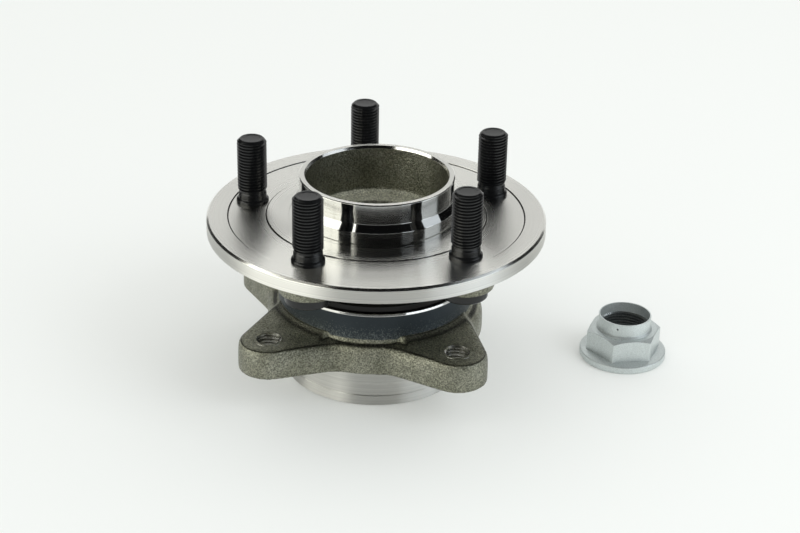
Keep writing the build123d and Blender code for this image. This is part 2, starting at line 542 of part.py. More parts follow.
# ---------------------------------------------------------------- write the nodes
def nodes():
    yield "wheel_hub", wheel_hub()
    stud = wheel_stud()
    for i, angle in enumerate(STUD_ANGLES):
        yield f"wheel_stud_{i + 1}", Rot(0, 0, angle) * stud
    yield "inner_ring", inner_ring()
    yield "outboard_balls", ball_row(OUTBOARD_ROW_Z)
    yield "inboard_balls", ball_row(INBOARD_ROW_Z)
    yield "outboard_cage", crown_cage(OUTBOARD_ROW_Z, 1)
    yield "inboard_cage", crown_cage(INBOARD_ROW_Z, -1)
    yield "bearing_housing", bearing_housing()
    yield "outboard_seal_case", outboard_seal_case()
    yield "outboard_seal_lip", outboard_seal_lip()
    yield "outboard_slinger", outboard_slinger()
    yield "inboard_seal_case", inboard_seal_case()
    yield "inboard_seal_lip", inboard_seal_lip()
    yield "inboard_slinger", inboard_slinger()
    yield "encoder_ring", encoder_ring()
    yield "axle_nut", axle_nut()


os.makedirs("parts", exist_ok=True)
for name, shape in nodes():
    export_step(shape, f"parts/{name}.step")
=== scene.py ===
import json
from math import cos, hypot, pi, radians, sin, tan

import bpy
from bpy.props import FloatProperty, FloatVectorProperty, IntProperty, PointerProperty
from mathutils import Matrix, Vector

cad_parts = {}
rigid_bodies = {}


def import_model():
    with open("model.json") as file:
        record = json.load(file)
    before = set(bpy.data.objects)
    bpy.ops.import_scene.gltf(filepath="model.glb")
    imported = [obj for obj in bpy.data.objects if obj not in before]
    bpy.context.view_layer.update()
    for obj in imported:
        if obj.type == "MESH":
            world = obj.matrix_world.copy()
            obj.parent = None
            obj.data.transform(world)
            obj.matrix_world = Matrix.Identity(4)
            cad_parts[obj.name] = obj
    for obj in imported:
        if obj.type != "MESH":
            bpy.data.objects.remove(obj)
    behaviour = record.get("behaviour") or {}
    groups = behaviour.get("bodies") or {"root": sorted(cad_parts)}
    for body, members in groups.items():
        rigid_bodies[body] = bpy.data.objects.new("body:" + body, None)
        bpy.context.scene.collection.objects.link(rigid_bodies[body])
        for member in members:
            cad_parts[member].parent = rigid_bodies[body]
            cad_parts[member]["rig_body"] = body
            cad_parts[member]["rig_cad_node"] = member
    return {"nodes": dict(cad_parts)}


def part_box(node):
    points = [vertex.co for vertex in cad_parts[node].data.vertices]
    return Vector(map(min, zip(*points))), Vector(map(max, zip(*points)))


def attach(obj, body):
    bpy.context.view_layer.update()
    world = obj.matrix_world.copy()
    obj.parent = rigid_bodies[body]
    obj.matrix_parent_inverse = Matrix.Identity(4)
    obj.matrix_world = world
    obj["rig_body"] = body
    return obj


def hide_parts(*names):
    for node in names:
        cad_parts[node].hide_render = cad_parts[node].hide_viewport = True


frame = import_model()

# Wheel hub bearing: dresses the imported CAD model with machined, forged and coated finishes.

bl_info = {
    "name": "Wheel Hub Bearing",
    "version": (1, 0, 0),
    "blender": (4, 5, 0),
    "location": "3D View > Sidebar > Hub Bearing",
    "description": "Builds a flanged wheel hub bearing unit with its studs, seals and axle nut",
    "category": "Add Mesh",
}

MM = 0.001
MERGE = 1e-6                  # metres: points nearer than this are one point
TURN_STEPS = 256              # segments round a large turned piece
NUT_STEPS = 128               # round the nut
SMALL_STEPS = 64              # round a stud or an ear's thread
SHARP_TURN = 12.0             # degrees, a corner that turns less than this is left alone
EDGE_BREAK = 0.15             # mm, rounding that deburring leaves on a turned corner
ACROSS = 0.25                 # quarter turn: lathe marks blur a reflection across themselves
MOUTH_CHAMFER = 1.35          # mm, height of the chamfer inside the cup's mouth
FLOOR_LEVEL = -80.0           # mm, the floor under the spigot and the loose nut
EAR_ANGLES = [radians(angle) for angle in (57.0, 140.6, 219.4, 303.0)]
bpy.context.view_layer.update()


def colour(hex_code):
    """Linear RGBA from an sRGB hex code."""
    channels = [int(hex_code[i:i + 2], 16) / 255 for i in (1, 3, 5)]
    linear = [c / 12.92 if c <= 0.04045 else ((c + 0.055) / 1.055) ** 2.4 for c in channels]
    return (*linear, 1.0)


def length(name, millimetres, description):
    """A length property whose default is given in millimetres."""
    return FloatProperty(name=name, description=description, default=millimetres * MM,
                         min=0.0, unit="LENGTH", precision=5)


def tint(name, hex_code, description):
    """A colour property whose default is given as an sRGB hex code."""
    return FloatVectorProperty(name=name, description=description, subtype="COLOR", size=4,
                               min=0.0, max=1.0, default=colour(hex_code))


# ------------------------------------------------------------------ sizes and colours
class HubSizes(bpy.types.PropertyGroup):
    flange_radius: length("Flange radius", 79.35, "Rim of the wheel flange")
    rim_thickness: length("Rim thickness", 7.0, "Thickness of the flange at its rim")
    relief_inner: length("Relief, inner radius", 51.3, "Inner edge of the relief round the studs")
    relief_outer: length("Relief, outer radius", 69.6, "Outer edge of the relief round the studs")
    relief_depth: length("Relief depth", 0.4, "Depth of the relief round the studs")
    disc_pilot: length("Disc pilot radius", 38.3, "Cylinder that centres the brake disc")
    disc_pilot_height: length("Disc pilot height", 6.9, "Height of that cylinder")
    wheel_pilot: length("Wheel pilot radius", 36.25, "Cylinder that centres the wheel")
    pilot_height: length("Pilot height", 19.85, "Mouth of the cup above the flange's face")
    cup_radius: length("Cup radius", 33.0, "Forged wall of the cup, below its machined mouth")
    cup_depth: length("Cup depth", 3.5, "Cup floor below the flange's face")
    neck_radius: length("Neck radius", 31.5, "Neck behind the flange")
    land_radius: length("Land radius", 29.52, "Ground land that the seals run on")
    bore_radius: length("Bore radius", 15.9, "Bore that holds the splines")


class StudSizes(bpy.types.PropertyGroup):
    circle_radius: length("Bolt circle radius", 60.0, "Circle that the studs stand on")
    first_angle: FloatProperty(name="First stud", description="Angle of the first stud from +X",
                               default=radians(21.7), subtype="ANGLE")
    count: IntProperty(name="Studs", description="Number of studs", default=5, min=3, max=8)
    crest_radius: length("Crest radius", 6.95, "Radius over the thread's crests")
    root_radius: length("Root radius", 6.1, "Radius at the thread's roots")
    pitch: length("Pitch", 1.5, "Pitch of the thread")
    shank_radius: length("Shank radius", 6.6, "Plain neck below the thread")
    knurl_radius: length("Knurl radius", 7.65, "Knurled length pressed into the flange")
    head_radius: length("Head radius", 10.6, "Head behind the flange")
    top: length("Top", 31.5, "Tip above the flange's face")


class HousingSizes(bpy.types.PropertyGroup):
    barrel_radius: length("Barrel radius", 46.0, "Turned barrel outboard of the ears")
    spigot_radius: length("Spigot radius", 42.9, "Spigot that centres in the knuckle")
    spigot_root: length("Spigot root radius", 43.45, "Spigot beside the mounting face")
    seal_bore: length("Seal bore radius", 39.4, "Seat of the outboard seal")
    end_bore: length("End bore radius", 39.0, "Seat of the inboard seal")
    ear_circle: length("Ear hole circle radius", 65.1, "Circle that the ears' holes lie on")
    thread_root: length("Ear thread, root radius", 6.25, "Roots of the threads in the ears")
    thread_crest: length("Ear thread, crest radius", 5.25, "Crests of the threads in the ears")
    thread_pitch: length("Ear thread, pitch", 1.75, "Pitch of the threads in the ears")


class NutSizes(bpy.types.PropertyGroup):
    flange_radius: length("Flange radius", 21.0, "Flange that bears on the hub")
    flange_thickness: length("Flange thickness", 3.7, "Thickness of that flange at its rim")
    across_flats: length("Across flats", 32.0, "Size of the hexagon")
    hex_top: length("Hexagon top", 15.2, "Top of the hexagon above the seat")
    height: length("Height", 22.25, "Top of the staking collar above the seat")
    collar_radius: length("Collar radius", 12.75, "Outside of the staking collar")
    thread_root: length("Thread, root radius", 12.0, "Roots of the thread")
    thread_crest: length("Thread, crest radius", 11.15, "Crests of the thread")
    pitch: length("Pitch", 1.5, "Pitch of the thread")


class Finishes(bpy.types.PropertyGroup):
    turned: tint("Turned steel", "#ECEBE6", "Flange face, rim and spigot")
    ground: tint("Ground steel", "#C8C8C6", "Pilots, raceways and lands")
    forged: tint("Forged steel", "#B2B2A1", "Shot-blasted forging")
    barrel: tint("Heat-tinted steel", "#3C4246", "Barrel, blued by induction hardening")
    phosphate: tint("Black phosphate", "#101112", "Wheel studs")
    zinc: tint("Zinc flake", "#CAD1D0", "Axle nut")
    rubber: tint("Seal rubber", "#17130F", "Moulded seal lips")
    floor: tint("Floor", "#EFF1EE", "Plain pale floor")


class HubBearingSettings(bpy.types.PropertyGroup):
    hub: PointerProperty(type=HubSizes, name="Hub")
    studs: PointerProperty(type=StudSizes, name="Studs")
    housing: PointerProperty(type=HousingSizes, name="Housing")
    nut: PointerProperty(type=NutSizes, name="Axle nut")
    finishes: PointerProperty(type=Finishes, name="Finishes")


# ------------------------------------------------------------------ modelling helpers
def settings():
    return bpy.context.scene.hub_bearing


def start_edit(select="SELECT"):
    bpy.ops.object.mode_set(mode="EDIT")
    bpy.ops.mesh.select_mode(type="VERT")
    bpy.ops.mesh.select_all(action=select)


def end_edit():
    bpy.ops.object.mode_set(mode="OBJECT")


def only(piece):
    """Makes a piece the one selected, active object."""
    bpy.ops.object.select_all(action="DESELECT")
    piece.select_set(True)
    bpy.context.view_layer.objects.active = piece


def line_piece(name, points):
    """A wire through (radius, height) points in millimetres, drawn in the XZ plane."""
    bpy.ops.object.select_all(action="DESELECT")
    bpy.ops.mesh.primitive_plane_add(size=MM)
    piece = bpy.context.object
    piece.name = piece.data.name = name
    start_edit()
    bpy.ops.mesh.merge(type="CENTER")
    bpy.ops.transform.translate(value=(points[0][0] * MM, 0, points[0][1] * MM))
    for (r0, z0), (r1, z1) in zip(points, points[1:]):
        step = ((r1 - r0) * MM, 0, (z1 - z0) * MM)
        bpy.ops.mesh.extrude_vertices_move(TRANSFORM_OT_translate={"value": step})
    end_edit()
    return piece


def clean_shell(piece):
    """Merges doubles and turns every face outwards."""
    only(piece)
    start_edit()
    bpy.ops.mesh.remove_doubles(threshold=MERGE)
    bpy.ops.mesh.normals_make_consistent(inside=False)
    end_edit()
    return piece


def softened(outline, radius):
    """The outline with each clear corner rounded off by a short curve."""
    result = []
    for i, corner in enumerate(outline):
        before = Vector(outline[i - 1])
        after = Vector(outline[(i + 1) % len(outline)])
        here = Vector(corner)
        to_before, to_after = before - here, after - here
        turn = 180 - to_before.angle(to_after, 0) * 180 / pi
        if turn < SHARP_TURN or here.x < MERGE:
            result.append(tuple(here))
            continue
        cut = min(radius, 0.4 * to_before.length, 0.4 * to_after.length)
        first = here + to_before.normalized() * cut
        last = here + to_after.normalized() * cut
        for share in (0.0, 0.35, 0.65, 1.0):
            point = (1 - share) ** 2 * first + 2 * share * (1 - share) * here + share ** 2 * last
            result.append(tuple(point))
    return result


def turned(name, outline, steps=TURN_STEPS, edge=EDGE_BREAK):
    """A closed solid of revolution about Z from a closed (radius, height) outline."""
    points = softened([tuple(p) for p in outline], edge)
    piece = line_piece(name, points + points[:1])
    only(piece)
    start_edit()
    bpy.ops.mesh.remove_doubles(threshold=MERGE)
    bpy.ops.mesh.spin(steps=steps, angle=2 * pi, center=(0, 0, 0), axis=(0, 0, 1))
    end_edit()
    return clean_shell(piece)


def arc(centre, radius, start, end, count):
    """Points in millimetres on an arc, angles in degrees."""
    angles = [radians(start + (end - start) * i / count) for i in range(count + 1)]
    return [(centre[0] + radius * cos(a), centre[1] + radius * sin(a)) for a in angles]


def apply_modifier(piece, kind, **values):
    only(piece)
    modifier = piece.modifiers.new(kind.title(), kind)
    for key, value in values.items():
        setattr(modifier, key, value)
    bpy.ops.object.modifier_apply(modifier=modifier.name)
    return piece


def smooth(piece):
    """Smooth shading that keeps broad faces looking flat."""
    only(piece)
    bpy.ops.object.shade_smooth()
    return apply_modifier(piece, "WEIGHTED_NORMAL", weight=100, keep_sharp=False)


def smooth_by_angle(piece, angle=30.0):
    only(piece)
    bpy.ops.object.shade_smooth_by_angle(angle=radians(angle))
    return piece


def boolean(piece, other, operation):
    """Applies a boolean with another piece, which is used up."""
    apply_modifier(piece, "BOOLEAN", operation=operation, object=other, solver="EXACT")
    bpy.data.objects.remove(other)
    return piece


def join(piece, other):
    """Adds another piece's mesh to a piece."""
    only(piece)
    other.select_set(True)
    bpy.ops.object.join()
    return piece


def moved_copy(piece, name, angle, offset):
    """A copy with its own mesh, shifted and then turned about Z, placed in its mesh."""
    copy = piece.copy()
    copy.data = piece.data.copy()
    copy.name = copy.data.name = name
    bpy.context.collection.objects.link(copy)
    copy.data.transform(Matrix.Rotation(angle, 4, "Z") @ Matrix.Translation(offset))
    return copy


def cut_between(piece, low, high):
    """Cuts a closed mesh square at two heights in millimetres and caps both cuts."""
    only(piece)
    start_edit()
    bpy.ops.mesh.remove_doubles(threshold=MERGE)
    for height, side in ((low, -1), (high, 1)):
        bpy.ops.mesh.select_all(action="SELECT")
        bpy.ops.mesh.bisect(plane_co=(0, 0, height * MM), plane_no=(0, 0, side),
                            use_fill=True, clear_outer=True, threshold=MERGE)
    end_edit()


def threaded_rod(name, crest, root, pitch, low, high):
    """A closed rod with a helical thread about Z, cut square at both ends (mm)."""
    flank = [(root, 0.0), (root, 0.12 * pitch), (crest, 0.44 * pitch), (crest, 0.56 * pitch),
             (root, 0.88 * pitch), (root, pitch)]
    rod = line_piece(name, [(r, z + low - 2 * pitch) for r, z in flank])
    turns = int((high - low) / pitch) + 4
    apply_modifier(rod, "SCREW", axis="Z", screw_offset=pitch * MM, iterations=turns,
                   steps=SMALL_STEPS, render_steps=SMALL_STEPS, use_merge_vertices=True,
                   merge_threshold=MERGE)
    cut_between(rod, low, high)
    return clean_shell(rod)


def forging_from(node, name, low, high, voxel, rounds, shrink=1.0):
    """A forging's skin: the CAD solid between two heights, remeshed and softened (mm)."""
    source = frame["nodes"][node]
    piece = source.copy()
    piece.data = source.data.copy()
    piece.name = piece.data.name = name
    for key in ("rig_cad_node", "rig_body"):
        del piece[key]
    piece.parent = None
    piece.data.materials.clear()
    bpy.context.collection.objects.link(piece)
    piece.data.transform(Matrix.Diagonal((shrink, shrink, 1.0, 1.0)))
    cut_between(piece, low, high)
    apply_modifier(piece, "REMESH", mode="VOXEL", voxel_size=voxel * MM, use_smooth_shade=True)
    apply_modifier(piece, "SMOOTH", factor=0.5, iterations=rounds)
    return piece


def assign(piece, zones):
    """Gives faces their materials: zones are (material, test of a face's centre and normal)."""
    for material, _ in zones:
        piece.data.materials.append(material)
    for face in piece.data.polygons:
        centre = face.center / MM
        for index, (_, belongs) in enumerate(zones):
            if belongs(hypot(centre.x, centre.y), centre.z, face.normal):
                face.material_index = index
                break
    return piece


def seat(piece, body, slot, *nodes):
    """Declares what a finished piece rides on and hides the nodes it stands for; its finish slot
    is not used.
    """
    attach(piece, body)
    if nodes:
        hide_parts(*nodes)


def dress(node, material):
    """Gives a CAD node, whose shape stays, a procedural material."""
    mesh = frame["nodes"][node].data
    mesh.materials.clear()
    mesh.materials.append(material)


# ------------------------------------------------------------------ materials
def add_node(tree, kind, values=None, links=None, **properties):
    """Adds a node with its properties, input values and links."""
    made = tree.nodes.new(kind)
    for key, value in properties.items():
        setattr(made, key, value)
    for key, value in (values or {}).items():
        made.inputs[key].default_value = value
    for key, output in (links or {}).items():
        tree.links.new(output, made.inputs[key])
    return made


def new_material(name, **shader_values):
    """A material with one Principled shader; returns it, its tree and the shader."""
    material = bpy.data.materials.new(name)
    material.use_nodes = True
    tree = material.node_tree
    tree.nodes.clear()
    shader = add_node(tree, "ShaderNodeBsdfPrincipled")
    for key, value in shader_values.items():
        shader.inputs[key.replace("_", " ").title()].default_value = value
    add_node(tree, "ShaderNodeOutputMaterial", links={"Surface": shader.outputs["BSDF"]})
    return material, tree, shader


def between(tree, factor, low, high, start=0.3, end=0.7):
    """Colours from low to high as a factor rises from start to end."""
    ramp = add_node(tree, "ShaderNodeValToRGB", links={"Fac": factor})
    ramp.color_ramp.elements[0].position = start
    ramp.color_ramp.elements[0].color = low
    ramp.color_ramp.elements[1].position = end
    ramp.color_ramp.elements[1].color = high
    return ramp.outputs["Color"]


def shade(base, factor):
    """A colour made darker or lighter by a factor."""
    return (*[min(1.0, c * factor) for c in base[:3]], 1.0)


def object_place(tree):
    """Coordinates in metres that stay with a piece as it moves."""
    return add_node(tree, "ShaderNodeTexCoord").outputs["Object"]


def noise(tree, grain_mm, detail, place=None, distance=None, roughness=0.5):
    """A noise with grains of a given size, in space or along one distance."""
    values = {"Scale": 1 / (grain_mm * MM), "Detail": detail, "Roughness": roughness}
    if distance is None:
        return add_node(tree, "ShaderNodeTexNoise", values, {"Vector": place}).outputs["Fac"]
    return add_node(tree, "ShaderNodeTexNoise", values, {"W": distance},
                    noise_dimensions="1D").outputs["Fac"]


def paint(tree, shader, socket, output):
    tree.links.new(output, shader.inputs[socket])


def lathe_marks(tree, shader):
    """Stretches highlights as marks that run round the Z axis do."""
    tangent = add_node(tree, "ShaderNodeTangent", direction_type="RADIAL", axis="Z")
    paint(tree, shader, "Tangent", tangent.outputs["Tangent"])


def relief(tree, shader, height, strength, depth_mm):
    """Raises and sinks the surface by a pattern."""
    bump = add_node(tree, "ShaderNodeBump", {"Strength": strength, "Distance": depth_mm * MM},
                    {"Height": height})
    paint(tree, shader, "Normal", bump.outputs["Normal"])


def turned_face():
    """Faced steel: the tool leaves fine concentric rings, so highlights fan out radially."""
    base = settings().finishes.turned
    material, tree, shader = new_material("turned_steel_face", metallic=1.0, anisotropic=0.9,
                                          anisotropic_rotation=ACROSS)
    place = object_place(tree)
    flat = add_node(tree, "ShaderNodeVectorMath", {1: (1.0, 1.0, 0.0)}, {0: place},
                    operation="MULTIPLY")
    radius = add_node(tree, "ShaderNodeVectorMath", links={0: flat.outputs["Vector"]},
                      operation="LENGTH")
    # The feed is about 0.2 mm a turn; drawn at 2 mm so that some rings show.
    rings = noise(tree, 2.0, 1.0, distance=radius.outputs["Value"])
    patches = noise(tree, 30.0, 2.0, place=place)
    mixed = add_node(tree, "ShaderNodeMath", links={0: rings, 1: patches},
                     operation="MULTIPLY")
    doubled = add_node(tree, "ShaderNodeMath", {1: 2.0}, {0: mixed.outputs["Value"]},
                       operation="MULTIPLY")
    paint(tree, shader, "Base Color", between(tree, doubled.outputs["Value"],
                                              shade(base, 0.98), shade(base, 1.01)))
    rough = add_node(tree, "ShaderNodeMapRange", {"To Min": 0.262, "To Max": 0.278},
                     {"Value": rings})
    paint(tree, shader, "Roughness", rough.outputs["Result"])
    lathe_marks(tree, shader)
    return material


def turned_side(name, base, roughness, ring_mm, contrast=0.1):
    """Turned or ground cylinder: fine rings one above the other round the axis."""
    material, tree, shader = new_material(name, metallic=1.0, anisotropic=0.95,
                                          anisotropic_rotation=ACROSS, roughness=roughness)
    parts = add_node(tree, "ShaderNodeSeparateXYZ", links={"Vector": object_place(tree)})
    rings = noise(tree, ring_mm, 4.0, distance=parts.outputs["Z"])
    paint(tree, shader, "Base Color", between(tree, rings, shade(base, 1 - contrast),
                                              shade(base, 1 + contrast / 3)))
    lathe_marks(tree, shader)
    relief(tree, shader, rings, 0.05, 0.02)
    return material


def blasted_forging(name, base, top=0.1, metallic=0.95):
    """Shot-blasted forging: dents of the shot sparkle grey-olive, painted shade darkens the tops
    and a painted highlight lightens the rounded edges.
    """
    material, tree, shader = new_material(name, metallic=metallic)
    place = object_place(tree)
    dents = noise(tree, 0.75, 2.0, place=place, roughness=0.7)
    speckle = between(tree, dents, shade(base, 0.55), shade(base, 1.6), 0.38, 0.66)
    stain = between(tree, noise(tree, 11.0, 4.0, place=place), (0.7, 0.7, 0.66, 1.0),
                    (1.0, 1.0, 1.0, 1.0))
    # Painted light by how a face tilts: steep walls at 0.6, rounded edges lifted to 0.88 as a
    # painted highlight, upward tops darkened to the level top as painted shade.
    lie = add_node(tree, "ShaderNodeSeparateXYZ", links={
        "Vector": add_node(tree, "ShaderNodeNewGeometry").outputs["Normal"]})
    shade_tops_light_edges = add_node(tree, "ShaderNodeValToRGB", links={"Fac": lie.outputs["Z"]})
    stops = shade_tops_light_edges.color_ramp.elements
    for stop, upward, level in ((stops[0], 0.35, 0.6), (stops[1], 0.5, 0.88),
                                (stops.new(0.72), 0.72, 0.88), (stops.new(0.9), 0.9, top)):
        stop.position, stop.color = upward, (level, level, level, 1.0)
    # A colour mix takes its two colours at inputs 6 and 7 and gives the result at output 2.
    colours = speckle
    for layer in (stain, shade_tops_light_edges.outputs["Color"]):
        mix = add_node(tree, "ShaderNodeMix", {"Factor": 1.0}, data_type="RGBA",
                       blend_type="MULTIPLY")
        tree.links.new(colours, mix.inputs[6])
        tree.links.new(layer, mix.inputs[7])
        colours = mix.outputs[2]
    paint(tree, shader, "Base Color", colours)
    rough = add_node(tree, "ShaderNodeMapRange", {"To Min": 0.48, "To Max": 0.24},
                     {"Value": dents})
    paint(tree, shader, "Roughness", rough.outputs["Result"])
    relief(tree, shader, dents, 1.0, 0.5)
    return material


def heat_tinted_barrel():
    """Turned barrel blued by induction hardening, with blast freckles near its foot."""
    base = settings().finishes.barrel
    material, tree, shader = new_material("heat_tinted_steel", metallic=1.0, roughness=0.5,
                                          anisotropic=0.6, anisotropic_rotation=ACROSS)
    lathe_marks(tree, shader)
    place = object_place(tree)
    parts = add_node(tree, "ShaderNodeSeparateXYZ", links={"Vector": place})
    foot = add_node(tree, "ShaderNodeMapRange", {"From Min": -33 * MM, "From Max": -43.6 * MM,
                                                 "To Min": -0.3, "To Max": 0.05},
                    {"Value": parts.outputs["Z"]})
    grit = noise(tree, 0.7, 2.0, place=place, roughness=0.7)
    freckle = add_node(tree, "ShaderNodeMath", links={0: grit, 1: foot.outputs["Result"]},
                       operation="ADD")
    paint(tree, shader, "Base Color", between(tree, freckle.outputs["Value"], base,
                                              colour("#727877"), 0.4, 0.7))
    relief(tree, shader, grit, 0.35, 0.05)
    return material


def coated(name, base, roughness, grain_mm, metallic=0.0, contrast=0.35, depth_mm=0.03):
    """A thin matt coating on steel, or moulded rubber: fine even mottling."""
    material, tree, shader = new_material(name, metallic=metallic, roughness=roughness)
    mottle = noise(tree, grain_mm, 5.0, place=object_place(tree), roughness=0.65)
    paint(tree, shader, "Base Color", between(tree, mottle, shade(base, 1 - contrast),
                                              shade(base, 1 + contrast)))
    relief(tree, shader, mottle, 0.4, depth_mm)
    return material


# ------------------------------------------------------------------ pieces
class HUBBEARING_OT_wheel_hub(bpy.types.Operator):
    """Turn the hub's flange, pilots and shaft, and forge its back and its splined bore"""
    bl_idname = "hub_bearing.wheel_hub"
    bl_label = "Wheel Hub"

    def outline(self, hub):
        flange, rim = hub.flange_radius / MM, hub.rim_thickness / MM
        relief_in, relief_out = hub.relief_inner / MM, hub.relief_outer / MM
        depth = hub.relief_depth / MM
        groove = -depth - 0.5
        disc, disc_top = hub.disc_pilot / MM, hub.disc_pilot_height / MM
        pilot, top = hub.wheel_pilot / MM, hub.pilot_height / MM
        cup, floor = hub.cup_radius / MM, -hub.cup_depth / MM
        neck, land, bore = hub.neck_radius / MM, hub.land_radius / MM, hub.bore_radius / MM
        cup_corner = arc((cup - 3.8, floor + 3.0), 3.0, -90, 0, 6)
        sweep = arc((neck + 14.5 - 0.3, -24.1 + 0.3), 14.5, 90, 180, 10)
        return [
            *cup_corner, (cup, top - MOUTH_CHAMFER), (cup + 0.7, top), (pilot - 0.55, top),
            (pilot, top - 0.45), (pilot, disc_top + 3.4), (disc, disc_top), (disc, -0.3),
            (disc + 2.7, -0.3), (disc + 2.7, 0), (relief_in, 0), (relief_in + 0.05, groove),
            (relief_in + 0.5, groove), (relief_in + 0.55, -depth),
            (relief_out - 0.55, -depth), (relief_out - 0.5, groove),
            (relief_out - 0.05, groove), (relief_out, 0), (flange - 1.0, 0), (flange, -1.0),
            (flange, -rim), (flange - 2.5, -rim + 0.2), *sweep, (neck, -26.2), (land, -26.2),
            (land, -38.0), (26.0, -40.0), (25.6, -43.0), (25.6, -54.5), (21.0, -54.5),
            (21.0, -76.6), (20.0, -77.6), (bore + 0.6, -77.6), (bore, -77.0), (bore, -4.6),
            (bore + 0.1, -4.5), (21.8, -4.5), (21.8, floor),
        ]

    def splines(self, hub):
        """Sleeve of the splined bore: thirty teeth round a plain outer wall."""
        teeth, inner, outer = 30, 14.5 * MM, 15.5 * MM
        low, depth = -77.5 * MM, 72.9 * MM
        bpy.ops.object.select_all(action="DESELECT")
        bpy.ops.mesh.primitive_circle_add(vertices=teeth * 4, radius=inner,
                                          location=(0, 0, 0))
        sleeve = bpy.context.object
        sleeve.name = sleeve.data.name = "hub_splined_bore"
        # Two points in every four move out to the roots between the teeth.
        start_edit("DESELECT")
        end_edit()
        for index, vertex in enumerate(sleeve.data.vertices):
            vertex.select = index % 4 > 1
        bpy.ops.object.mode_set(mode="EDIT")
        bpy.ops.transform.resize(value=(outer / inner, outer / inner, 1),
                                 center_override=(0, 0, 0))
        bpy.ops.mesh.select_all(action="SELECT")
        bpy.ops.transform.translate(value=(0, 0, low))
        bpy.ops.mesh.extrude_edges_move(TRANSFORM_OT_translate={"value": (0, 0, depth)})
        bpy.ops.mesh.extrude_edges_move(TRANSFORM_OT_translate={"value": (0, 0, 0)})
        wall = (hub.bore_radius + 0.3 * MM) / inner
        bpy.ops.transform.resize(value=(wall, wall, 1), center_override=(0, 0, 0))
        bpy.ops.mesh.extrude_edges_move(TRANSFORM_OT_translate={"value": (0, 0, -depth)})
        bpy.ops.mesh.select_all(action="SELECT")
        bpy.ops.mesh.select_non_manifold()
        bpy.ops.mesh.bridge_edge_loops()
        end_edit()
        return smooth_by_angle(clean_shell(sleeve))

    def execute(self, context):
        hub = settings().hub
        finishes = settings().finishes
        forged = blasted_forging("blasted_forging_hub", finishes.forged)
        # Painted light: the cup's floor gets a lighter copy of the forging, 1.3 times its tone
        # and without the painted shade on tops.
        lit_cup_floor = blasted_forging("painted_light_forging_cup", shade(finishes.forged, 1.3), 1.0, 0.4)
        ground = turned_side("ground_steel_pilot", finishes.ground, 0.08, 0.9, 0.05)
        side = turned_side("turned_steel_rim", finishes.turned, 0.45, 0.6, 0.2)
        bevel = turned_side("turned_steel_bevel", finishes.turned, 0.2, 3.0, 0.04)
        piece = smooth(turned("hub_turned", self.outline(hub)))
        flange, pilot = hub.flange_radius / MM, hub.disc_pilot / MM
        cup, groove = hub.cup_radius / MM, -hub.relief_depth / MM - 0.1
        lip = hub.pilot_height / MM - MOUTH_CHAMFER - 0.01
        # Painted shade: the narrow groove round the relief is turned steel at 0.12 of its tone.
        groove_shade = turned_side("painted_shade_groove", shade(finishes.turned, 0.12), 0.5, 0.5)
        assign(piece, [
            (groove_shade, lambda r, z, n: groove > z > -1.0 and pilot + 5 < r < flange - 5),
            (bevel, lambda r, z, n: (z > -1.05 and r > flange - 1.05) or (z > lip and n.z > 0.3)),
            (turned_face(), lambda r, z, n: z > -0.7 and r > pilot + 0.1 and n.z > 0.5),
            (side, lambda r, z, n: r > flange - 2.6 and z > -7.2),
            (ground, lambda r, z, n: z > -0.5 and r > cup + 0.02),
            (lit_cup_floor, lambda r, z, n: -4.2 < z < -2.0 and r < cup),
            (forged, lambda r, z, n: z > -4.2 or (z < -7.0 and z > -26.0 and r > 29.6)),
            (ground, lambda r, z, n: True)])
        back = forging_from("wheel_hub", "hub_forged_back", -25.5, -5.2, 0.8, 4, shrink=0.993)
        back.data.materials.append(forged)
        seat(back, "hub", "forged_steel")
        seat(piece, "hub", "turned_steel", "wheel_hub")
        splines = self.splines(hub)
        splines.data.materials.append(ground)
        seat(splines, "hub", "turned_steel")
        return {"FINISHED"}


class HUBBEARING_OT_wheel_studs(bpy.types.Operator):
    """Roll the threads of the wheel studs and press the studs into the flange"""
    bl_idname = "hub_bearing.wheel_studs"
    bl_label = "Wheel Studs"

    def execute(self, context):
        sizes = settings().studs
        crest, root, pitch = sizes.crest_radius / MM, sizes.root_radius / MM, sizes.pitch / MM
        shank, knurl = sizes.shank_radius / MM, sizes.knurl_radius / MM
        head = sizes.head_radius / MM
        top, tip = sizes.top / MM, 1.5
        stud = threaded_rod("wheel_stud", crest, root, pitch, 5.4, top + 1)
        envelope = turned("envelope", [
            (0, 5.9), (shank - 0.5, 5.9), (crest + 0.5, 6.9), (crest + 0.5, top - tip - 0.5),
            (crest - tip, top), (crest - tip - 1.0, top), (crest - tip - 1.5, top - 0.35),
            (0, top - 0.35)], SMALL_STEPS, 0.25)
        boolean(stud, envelope, "INTERSECT")
        body = turned("stud_body", [
            (0, -20.0), (head - 0.8, -20.0), (head, -19.2), (head, -15.6), (head - 0.3, -15.0),
            (knurl, -15.0), (knurl, 0.95), (knurl - 0.5, 1.5), (shank + 0.05, 1.9),
            (shank, 4.4), (shank - 0.45, 5.0), (shank - 0.45, 6.1), (0, 6.1)], SMALL_STEPS, 0.2)
        join(stud, body)
        smooth_by_angle(stud, 35)
        black = coated("black_phosphate_steel", settings().finishes.phosphate, 0.27, 0.5,
                       metallic=0.1, contrast=0.4, depth_mm=0.015)
        stud.data.materials.clear()
        stud.data.materials.append(black)
        for number in range(sizes.count):
            angle = sizes.first_angle + 2 * pi * number / sizes.count
            name = f"wheel_stud_{number + 1}"
            copy = moved_copy(stud, f"{name}_threaded", angle, (sizes.circle_radius, 0, 0))
            seat(copy, "hub", "phosphated_steel", name)
        bpy.data.objects.remove(stud)
        return {"FINISHED"}


